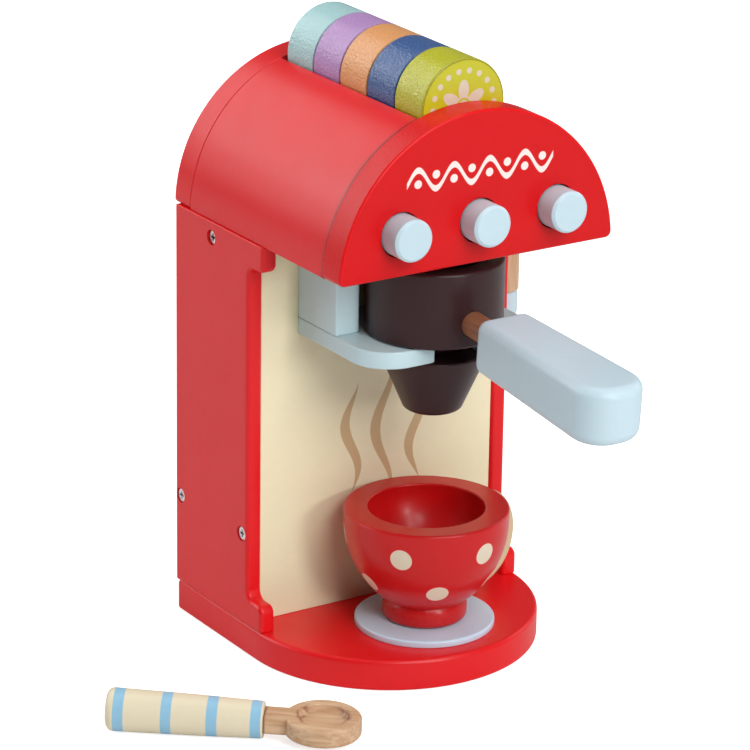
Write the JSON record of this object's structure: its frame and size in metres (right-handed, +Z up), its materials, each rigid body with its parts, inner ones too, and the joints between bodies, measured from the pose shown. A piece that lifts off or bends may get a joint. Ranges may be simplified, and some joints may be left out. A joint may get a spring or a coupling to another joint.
{
  "type": "toy coffee maker",
  "caption": "Wooden toy coffee maker with a vaulted pod housing, push buttons, a fork-held filter with a paddle handle, a side wand, a cup on a drip disc and a spoon.",
  "frame": {"origin": "middle of the base board's underside, on the floor", "axes": "+Z up, the front with the buttons and the cup faces -Y, +X is the side of the wand"},
  "size_m": [0.2375, 0.234, 0.2651],
  "materials": {
    "red_paint": "satin red paint on wood",
    "cream_paint": "satin cream paint on wood",
    "sky_paint": "satin pale blue paint on wood",
    "brown_paint": "satin chocolate brown paint on wood",
    "birch_wood": "plain clear-finished beech",
    "teal_paint": "satin teal paint on wood",
    "lilac_paint": "satin lilac paint on wood",
    "orange_paint": "satin orange paint on wood",
    "blue_paint": "satin blue paint on wood",
    "green_paint": "satin yellow-green paint on wood",
    "screw_steel": "zinc-plated steel",
    "spring_steel": "drawn spring wire"
  },
  "bodies": {
    "root": {"base_board": "red_paint", "side_panel_left": "red_paint", "side_panel_right": "red_paint", "front_panel": "cream_paint", "back_panel": "red_paint", "top_shelf": "birch_wood", "housing_floor": "birch_wood", "roof_back_board": "red_paint", "face_plate": "red_paint", "roof_panel_left": "red_paint", "roof_panel_right": "red_paint", "pod_trough": "birch_wood", "spring_rail": "birch_wood", "hanger_left": "sky_paint", "hanger_right": "sky_paint", "holder_fork": "sky_paint", "drip_disc": "sky_paint", "side_screws_left": "screw_steel", "side_screws_right": "screw_steel", "base_screws": "screw_steel", "housing_screws": "screw_steel", "spring_left": "spring_steel", "spring_centre": "spring_steel", "spring_right": "spring_steel"},
    "button_left": {"button_left": "sky_paint"},
    "button_centre": {"button_centre": "sky_paint"},
    "button_right": {"button_right": "sky_paint"},
    "filter_slider": {"filter_neck": "brown_paint"},
    "portafilter": {"filter_core": "birch_wood", "filter_head": "brown_paint", "filter_spout": "brown_paint", "filter_dowel": "birch_wood", "filter_handle": "sky_paint"},
    "cup": {"cup_body": "red_paint", "cup_handle": "cream_paint"},
    "pod_1": {"pod_1": "teal_paint"},
    "pod_2": {"pod_2": "lilac_paint"},
    "pod_3": {"pod_3": "orange_paint"},
    "pod_4": {"pod_4": "blue_paint"},
    "pod_5": {"pod_5": "green_paint"},
    "wand": {"wand_arm": "birch_wood", "wand_nozzle": "sky_paint", "wand_pivot": "birch_wood", "wand_washer": "birch_wood"},
    "spoon": {"spoon_scoop": "birch_wood", "spoon_handle": "cream_paint"}
  },
  "joints": [
    {"name": "button_left_press", "type": "slide", "parent": "root", "child": "button_left", "axis": [0, 1, 0], "range_m": [0, 0.005], "stiffness_N_per_m": 150, "springref_m": -0.002, "deforming": ["spring_left"]},
    {"name": "button_centre_press", "type": "slide", "parent": "root", "child": "button_centre", "axis": [0, 1, 0], "range_m": [0, 0.005], "stiffness_N_per_m": 150, "springref_m": -0.002, "deforming": ["spring_centre"]},
    {"name": "button_right_press", "type": "slide", "parent": "root", "child": "button_right", "axis": [0, 1, 0], "range_m": [0, 0.005], "stiffness_N_per_m": 150, "springref_m": -0.002, "deforming": ["spring_right"]},
    {"name": "filter_slide_out", "type": "slide", "parent": "root", "child": "filter_slider", "axis": [0, -1, 0], "range_m": [0, 0.07]},
    {"name": "filter_swivel", "type": "hinge", "parent": "filter_slider", "child": "portafilter", "pos_m": [0, -0.0335, 0.1466], "axis": [0, 0, 1], "range_deg": [-90, 90]},
    {"name": "cup_lift", "type": "slide", "parent": "root", "child": "cup", "axis": [0, 0, 1], "range_m": [0, 0.035]},
    {"name": "pod_1_lift", "type": "slide", "parent": "root", "child": "pod_1", "axis": [0, 0, 1], "range_m": [0, 0.045]},
    {"name": "pod_2_lift", "type": "slide", "parent": "root", "child": "pod_2", "axis": [0, 0, 1], "range_m": [0, 0.045]},
    {"name": "pod_3_lift", "type": "slide", "parent": "root", "child": "pod_3", "axis": [0, 0, 1], "range_m": [0, 0.045]},
    {"name": "pod_4_lift", "type": "slide", "parent": "root", "child": "pod_4", "axis": [0, 0, 1], "range_m": [0, 0.045]},
    {"name": "pod_5_lift", "type": "slide", "parent": "root", "child": "pod_5", "axis": [0, 0, 1], "range_m": [0, 0.045]},
    {"name": "wand_swing", "type": "hinge", "parent": "root", "child": "wand", "pos_m": [0.074, 0.026, 0.1601], "axis": [1, 0, 0], "range_deg": [-60, 60]},
    {"name": "spoon_lift", "type": "slide", "parent": "root", "child": "spoon", "axis": [0, 0, 1], "range_m": [0, 0.06]}
  ]
}
